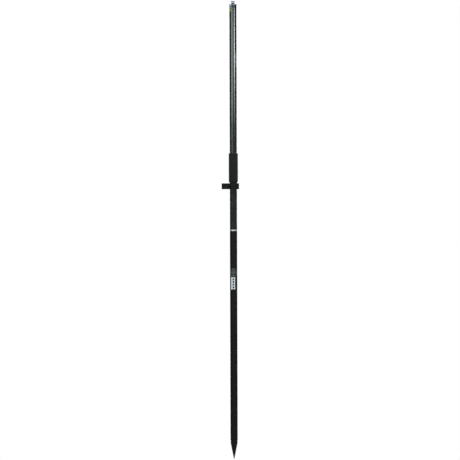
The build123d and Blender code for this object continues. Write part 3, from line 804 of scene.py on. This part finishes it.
def make_point():
    """Cone with a knurled collar, hollow for the pressed tip below and for the stud above."""
    foot, face = heights("point_body")
    socket = heights("point_stud")[0]
    neck_r, collar = half_width("point_body"), 68.5
    tip_r, tip_bore_r, tip_bore_top = cone_radius(foot), 2.51, 34.0
    knurl_low, knurl_high = collar + 1.2, face - 1.3
    around, lead, groove_width, depth = 60, 3.2, 0.4, 0.35

    def reshape(angle, radius, height):
        if radius != neck_r or not knurl_low <= height <= knurl_high:
            return radius, height
        fade = min(1.0, (height - knurl_low) / 0.5, (knurl_high - height) / 0.5)
        cut = max(0.0, diamond(angle, height, around, lead, groove_width))
        return radius - depth * fade * cut, height

    cone = softened([(tip_r, foot, 0.15), (CONE_TOP_R, CONE_TOP, 0.3), (neck_r, collar, 0.3)], 3)[4:]
    outline = [(0, tip_bore_top), (tip_bore_r, tip_bore_top), (tip_bore_r, foot)]
    outline += [(tip_r - 0.15, foot), (tip_r, foot + 0.15)] + cone
    outline += stretch(neck_r, knurl_low, knurl_high, 0.4)
    outline += softened([(neck_r, knurl_low), (neck_r, face, 0.5), (SOCKET_R, face)], 3)[1:]
    outline += [(SOCKET_R, socket), (0, socket)]
    stand_in(lathe("point_cone", outline, 240, reshape), "point_body")


def make_tip():
    """Pressed tip: a rounded nib that carries the cone on, with a plain pin inside the cone."""
    low, high = heights("point_tip")
    shoulder = heights("point_body")[0]
    pin_r = 2.5
    outline = softened([
        (0, low), (TIP_END_R, low, 0.6), (cone_radius(shoulder), shoulder, 0.15), (pin_r, shoulder),
        (pin_r, high), (0, high)
    ], 6)
    stand_in(lathe("point_nib", outline), "point_tip")


# ---- the level

def make_nut():
    """Hexagonal nut with chamfered corners, on its side in the clamp's ear."""
    low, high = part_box("clamp_nut")
    x_low, x_high = low.x / MM, high.x / MM
    thickness = x_high - x_low
    flat = half_width("clamp_nut")
    corner, bore, mouth = flat * 1.16, M6_MAJOR + 0.05, M6_MAJOR + 0.4

    def reshape(angle, radius, height):
        if radius < M6_MAJOR + 1:
            return radius, height
        edge = min(height, thickness - height)
        return min(hexagon(angle, flat), flat + 0.15 + edge * 1.7), height

    outline = [(mouth, 0), (flat, 0)] + stretch(corner, 0.0, 0.5, 0.1)[1:]
    outline += stretch(corner, thickness - 0.5, thickness, 0.1)[:-1] + [(flat, thickness)]
    outline += [(mouth, thickness), (bore, thickness - 0.4), (bore, 0.4)]
    place = along_x(x_low, screw_centre.y, screw_centre.z)
    stand_in(lathe("captive_nut", outline, ROUND_THREAD, reshape, place=place), "clamp_nut")


def make_thrust_washer():
    """Washer between the clamp's ear and the knob."""
    low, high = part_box("clamp_washer")
    thickness = (high.x - low.x) / MM
    outer, inner = half_width("clamp_washer"), 3.2
    outline = softened([
        (inner, 0, 0.1), (outer, 0, 0.1), (outer, thickness, 0.3), (inner, thickness, 0.1)
    ], 3)
    place = along_x(low.x / MM, screw_centre.y, screw_centre.z)
    stand_in(lathe("thrust_washer", outline, ROUND, place=place), "clamp_washer", "steel_lying")


def make_clamp_screw():
    """M6 shank along X, threaded from its free end up to the knob's side."""
    low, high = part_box("clamp_screw")
    x_low = low.x / MM
    length, threaded, end_r = (high.x - low.x) / MM, 23.5, M6_MINOR - 0.2

    def reshape(angle, radius, height):
        if radius != M6_MAJOR or height > threaded:
            return radius, height
        ridge = thread_radius(angle, x_low + height, M6_PITCH, M6_MINOR, M6_MAJOR)
        return min(ridge, end_r + height), height

    outline = [(0, 0), (end_r, 0)] + stretch(M6_MAJOR, 0.05, threaded, M6_PITCH / ROWS_SMALL)
    outline += [(M6_MAJOR, threaded + 0.6), (M6_MAJOR, length), (0, length)]
    place = along_x(x_low, screw_centre.y, screw_centre.z)
    stand_in(lathe("clamp_screw_threaded", outline, ROUND_SMALL, reshape, place=place),
             "clamp_screw", "steel_lying")


PLAY = 0.03  # gap between touching faces of moving pieces


def make_knob():
    """Hand knob with eight rounded flutes, a boss, a dished face and a cap in its middle."""
    low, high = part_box("clamp_knob")
    length = (high.x - low.x) / MM
    outer = half_width("clamp_knob") + 0.17     # the lobes between the flutes lie off the Y axis
    boss, boss_r, bore, depth = 1.5, 6.0, 3.02, 10.0
    dish_r, cap_r, dish = 5.9, 3.6, length - 0.8
    flutes, cut = 8, 1.05

    def reshape(angle, radius, height):
        if radius <= boss_r:
            return radius, height
        wave = (1 + math.cos(flutes * angle)) / 2
        share = (radius - boss_r) / (outer - boss_r)
        return radius - cut * share * wave ** 2.2, height

    outline = softened([
        (bore, PLAY, 0.2), (boss_r, PLAY, 0.3), (boss_r, boss), (outer, boss, 0.7),
        (outer, length, 1.3), (6.6, length - 0.05, 0.4), (dish_r, dish, 0.3), (cap_r, dish, 0.2),
        (3.3, length - 0.25, 0.3), (0, length - 0.05), (0, depth), (bore, depth)
    ], 5)
    axis_run = [index for index, point in enumerate(outline) if point[0] == 0]
    outline = outline[axis_run[-1]:] + outline[:axis_run[0] + 1]
    place = along_x(low.x / MM, screw_centre.y, screw_centre.z)
    stand_in(lathe("hand_knob", outline, 128, reshape, place=place), "clamp_knob")


def make_adjusting_screw(letter):
    """Socket head cap screw, head downwards, with a knurled head and a hexagon socket."""
    node = f"adjusting_screw_{letter}"
    low, tip = heights(node)
    where = middle(node)
    head_r, head, socket, flat = half_width(node), 2.0, 1.2, 1.0
    flutes, cut = 24, 0.09

    def reshape(angle, radius, height):
        if radius == flat:
            return hexagon(angle, flat), height
        if radius == head_r and 0.5 < height - low < head - 0.3:
            return radius - cut * (1 + math.cos(flutes * angle)) / 2, height
        if radius == M3_MAJOR:
            ridge = thread_radius(angle, height, M3_PITCH, M3_MINOR, M3_MAJOR)
            return min(ridge, M3_MINOR - 0.1 + tip - height), height
        return radius, height

    outline = [(0, low + socket), (flat, low + socket), (flat, low + 0.1), (flat + 0.35, low)]
    outline += [(head_r - 0.35, low), (head_r - 0.1, low + 0.1), (head_r, low + 0.35)]
    outline += stretch(head_r, low + 0.55, low + head - 0.35, 0.4)
    outline += [(head_r, low + head - 0.1), (head_r - 0.1, low + head)]
    outline += stretch(M3_MAJOR, low + head, tip, M3_PITCH / ROWS_SMALL)
    outline += [(M3_MINOR - 0.12, tip), (0, tip)]
    stand_in(lathe(f"level_screw_{letter}", outline, 96, reshape, (where.x, where.y)), node)


LEVEL_AXIS = (vial_centre.x, vial_centre.y)


def make_wave_spring():
    """Spring washer with three waves."""
    low, high = heights("wave_spring")
    outer, inner, thickness, waves = half_width("wave_spring"), 11.9, 0.35, 3
    swing = (high - low - thickness) / 2

    def reshape(angle, radius, height):
        return radius, height + swing * math.sin(waves * angle)

    centre, cut = (low + high) / 2, 0.08
    foot, top = centre - thickness / 2, centre + thickness / 2
    outline = softened([
        (inner, foot, cut), (outer, foot, cut), (outer, top, cut), (inner, top, cut)
    ], 2)
    stand_in(lathe("wave_washer", outline, ROUND, reshape, LEVEL_AXIS), "wave_spring")


def make_case():
    """Metal cup of the level, with a rounded rim and a hole for the filler plug."""
    low, high = heights("vial_case")
    outer, inner, floor, hole = half_width("vial_case"), 11.0, 2.0, 1.5
    outline = softened([
        (hole, low, 0.2), (outer, low, 0.6), (outer, high, 0.5), (inner, high, 0.35),
        (inner, low + floor, 0.3), (hole, low + floor),
    ])
    stand_in(lathe("level_case", outline, ROUND, centre=LEVEL_AXIS), "vial_case")


def dome(radius, crown, drop, steps=12):
    """Outline of a shallow dome, outwards from its crown on the axis."""
    return [(radius * step / steps, crown - drop * (step / steps) ** 2) for step in range(steps + 1)]


def make_capsule():
    """Clear body with a domed chamber roof, a bevelled rim and a hole for its plug."""
    low, high = heights("vial_capsule")
    outer = half_width("vial_capsule")
    chamber_r, chamber_foot, roof, hole = 9.2, low + 1.75, high - 4.2, 1.5
    outline = dome(chamber_r, roof, 0.16) + softened([
        (chamber_r, chamber_foot, 0.4), (hole, chamber_foot), (hole, low), (outer, low, 0.3),
        (outer, high - 0.02, 0.5), (0, high)
    ], 5)[1:]
    stand_in(lathe("level_glass", outline, ROUND, centre=LEVEL_AXIS), "vial_capsule")


def make_liquid():
    """Liquid that fills the chamber; the bubble sits inside it."""
    low, high = heights("vial_liquid")
    outer = half_width("vial_liquid")
    outline = [(0, low)] + softened([(0, low), (outer, low, 0.4), (outer, high)], 4)[1:-1]
    outline += dome(outer, high, 0.14)[::-1]
    stand_in(lathe("level_liquid", outline, ROUND, centre=LEVEL_AXIS), "vial_liquid")


def make_bubble():
    """Flat bubble pressed against the roof of its chamber."""
    low, high = heights("vial_bubble")
    radius = half_width("vial_bubble")
    half = (high - low) / 2
    steps, flatness = 20, 0.55  # a flatness of 1 would be an ellipse
    turns = [math.pi * step / steps for step in range(1, steps)]
    body = [(radius * math.sin(t) ** flatness, low + half - half * math.cos(t)) for t in turns]
    outline = [(0, low)] + body + [(0, high)]
    stand_in(lathe("level_bubble", outline, ROUND_SMALL, centre=LEVEL_AXIS), "vial_bubble")


def make_circle():
    """Printed circle on the glass that the bubble is centred in."""
    low, high = heights("target_circle")
    outer, width = half_width("target_circle"), 0.35
    outline = softened([
        (outer - width, low), (outer, low), (outer, high, 0.03), (outer - width, high, 0.03)
    ], 2)
    stand_in(lathe("level_circle", outline, ROUND, centre=LEVEL_AXIS), "target_circle")


def make_ring():
    """Screwed ring of the level, bevelled, with four notches for a pin spanner."""
    low, high = heights("retaining_ring")
    outer, inner = half_width("retaining_ring"), 11.6
    notch_width, notch_reach, notch_floor = 2.0, 2.0, high - 1.0

    def reshape(angle, radius, height):
        offset = (angle % (TAU / 4)) - TAU / 8
        notched = radius <= inner + notch_reach and abs(offset) * radius < notch_width / 2
        return radius, min(height, notch_floor) if notched else height

    outline = softened([(inner, low, 0.15), (outer, low, 0.15), (outer, high, 0.35)], 3)
    outline += [(inner + notch_reach + 0.05, high), (inner + notch_reach, high), (inner + 1.0, high)]
    outline += [(inner + 0.3, high), (inner, high - 0.3), (inner, high - 0.95)]
    stand_in(lathe("level_ring", outline, 192, reshape, LEVEL_AXIS), "retaining_ring")


# ---- everything together

for node, shown in frame["nodes"].items():
    shown.data.materials.clear()
    shown.data.materials.append(MATERIALS[NODE_SLOT[node]])

antenna_plane = heights("top_plug")[1]
stud_foot, stud_top = heights("top_stud")
joint_low, joint_high = heights("joint_stud")
point_low, point_high = heights("point_stud")
JOINT_SOCKET, POINT_SOCKET = 34.5, 28.0  # how much of these two studs is hidden in a socket
make_stud("antenna_stud", "top_stud", antenna_plane, stud_top, stud_foot, ANTENNA_SHANK_R)
make_stud("joint_stud_threaded", "joint_stud",
          joint_high - JOINT_SOCKET, joint_low, joint_high, HIDDEN_R)
make_stud("point_stud_threaded", "point_stud",
          point_low + POINT_SOCKET, point_high, point_low, HIDDEN_R)
make_lower_ferrule()
make_upper_ferrule()
make_point_socket()
make_washer("joint_shim", "joint_washer")
make_washer("point_shim", "point_washer")
make_top_plug()
make_grip()
make_label()
make_front_mark()
make_side_mark()
make_point()
make_tip()
make_nut()
make_thrust_washer()
make_clamp_screw()
make_knob()
for screw_letter in "abc":
    make_adjusting_screw(screw_letter)
make_wave_spring()
make_case()
make_capsule()
make_liquid()
make_bubble()
make_circle()
make_ring()


# ---- studio and camera

FLOOR_DROP = 0.02  # room under the tip for the unscrewed point
FLOOR_REACH = 12.0
AMBIENT = 0.06                   # brightness of the even light from all round
VIEW_SIZE = 2.02377              # metres across the picture
VIEW_CENTRE = (-0.0154, 1.0066)  # X and Z in its middle
VIEW_LEAN = math.radians(0.167)  # how far the pole leans in it


def make_floor():
    """Flat floor under the pole."""
    mesh = bpy.data.meshes.new("studio_floor")
    signs = ((-1, -1), (1, -1), (1, 1), (-1, 1))
    corners = [(x * FLOOR_REACH, y * FLOOR_REACH, 0) for x, y in signs]
    mesh.from_pydata(corners, [], [(0, 1, 2, 3)])
    mesh.materials.append(stage_floor())
    floor = bpy.data.objects.new("studio_floor", mesh)
    floor.location.z = CAD_BOX[0].z - FLOOR_DROP
    bpy.context.scene.collection.objects.link(floor)


def make_area_light(name, place, turns, width, length, brightness, colour=(1, 1, 1)):
    """Rectangular light that the camera doesn't see. Its brightness is that of its surface, so its
    power grows with its area."""
    light = bpy.data.lights.new(name, "AREA")
    light.shape = "RECTANGLE"
    light.size = width
    light.size_y = length
    light.energy = brightness * math.pi * width * length
    light.color = colour
    lamp = bpy.data.objects.new(name, light)
    lamp.location = place
    lamp.rotation_euler = turns
    lamp.visible_camera = False
    bpy.context.scene.collection.objects.link(lamp)


def make_softbox(name, azimuth, distance, low, high, width, brightness, colour=(1, 1, 1)):
    """Upright light that faces the pole. Azimuth 0 is in front of the pole, 90 at its right."""
    turn = math.radians(azimuth)
    place = (distance * math.sin(turn), -distance * math.cos(turn), (low + high) / 2)
    make_area_light(name, place, (math.pi / 2, 0, turn), width, high - low, brightness, colour)


def lit_by(light, *pieces):
    """Let a light fall on these pieces alone."""
    receivers = bpy.data.collections.new(light + "_receivers")
    for name in pieces:
        receivers.objects.link(bpy.data.objects[name])
    bpy.data.objects[light].light_linking.receiver_collection = receivers


def make_world(backdrop, ambient):
    """White behind the object for the camera, a dim even studio for everything else."""
    world = bpy.data.worlds.new("studio")
    world.use_nodes = True
    tree = world.node_tree
    tree.nodes.clear()
    seen = add(tree, "LightPath").outputs["Is Camera Ray"]
    shade = add(tree, "Background", {"Color": grey(ambient), "Strength": 1.0})
    white = add(tree, "Background", {"Color": grey(backdrop), "Strength": 1.0})
    mix = add(tree, "MixShader", {0: seen, 1: shade.outputs[0], 2: white.outputs[0]})
    output = add(tree, "OutputWorld")
    tree.links.new(mix.outputs[0], output.inputs["Surface"])
    bpy.context.scene.world = world


def make_camera():
    """Level orthographic view of the front, framed and tilted a trace as a long lens saw it."""
    camera = bpy.data.cameras.new("front_camera")
    camera.type = "ORTHO"
    camera.ortho_scale = VIEW_SIZE
    camera.clip_end = 50.0
    lens = bpy.data.objects.new("front_camera", camera)
    lens.location = (VIEW_CENTRE[0], -6.0, VIEW_CENTRE[1])
    lens.rotation_euler = (math.pi / 2, VIEW_LEAN, 0)
    bpy.context.scene.collection.objects.link(lens)
    bpy.context.scene.camera = lens


COOL = (0.81, 0.94, 1.0)  # colours of the studio lights
GREENISH = (0.87, 1.0, 0.95)

make_floor()
make_world(1.0, AMBIENT)
# name, azimuth, distance, lower and upper edge, width, brightness, colour
make_softbox("left_softbox", -36, 3.0, 1.5, 2.15, 2.8, 5.1, GREENISH)
make_softbox("middle_softbox", 12, 3.2, 1.6, 1.92, 1.6, 2.9, COOL)
make_softbox("middle_high_softbox", 12, 3.2, 1.92, 2.15, 1.6, 1.6, COOL)
make_softbox("right_softbox", 48, 3.0, 1.68, 1.9, 1.1, 25.0, COOL)
make_softbox("right_high_softbox", 48, 3.0, 1.9, 2.15, 1.1, 12.5, COOL)
make_softbox("right_low_softbox", 48, 3.0, 1.5, 1.68, 1.1, 7.5, COOL)
make_softbox("left_low_softbox", -33, 3.0, 1.22, 1.5, 2.8, 1.35, GREENISH)
make_softbox("front_fill", 0, 3.5, 0.4, 0.98, 6.5, 0.52)
make_softbox("back_softbox", 180, 3.5, 0.2, 2.4, 2.0, 4.0)
make_area_light("overhead_softbox", (0.0, 0.0, 3.6), (0.0, 0.0, 0.0), 2.6, 2.6, 3.0)
make_softbox("plug_softbox", -88, 1.6, 1.96, 2.3, 2.2, 17.0, COOL)
lit_by("plug_softbox", "antenna_plug")
make_camera()
bpy.context.scene.view_settings.view_transform = "Standard"
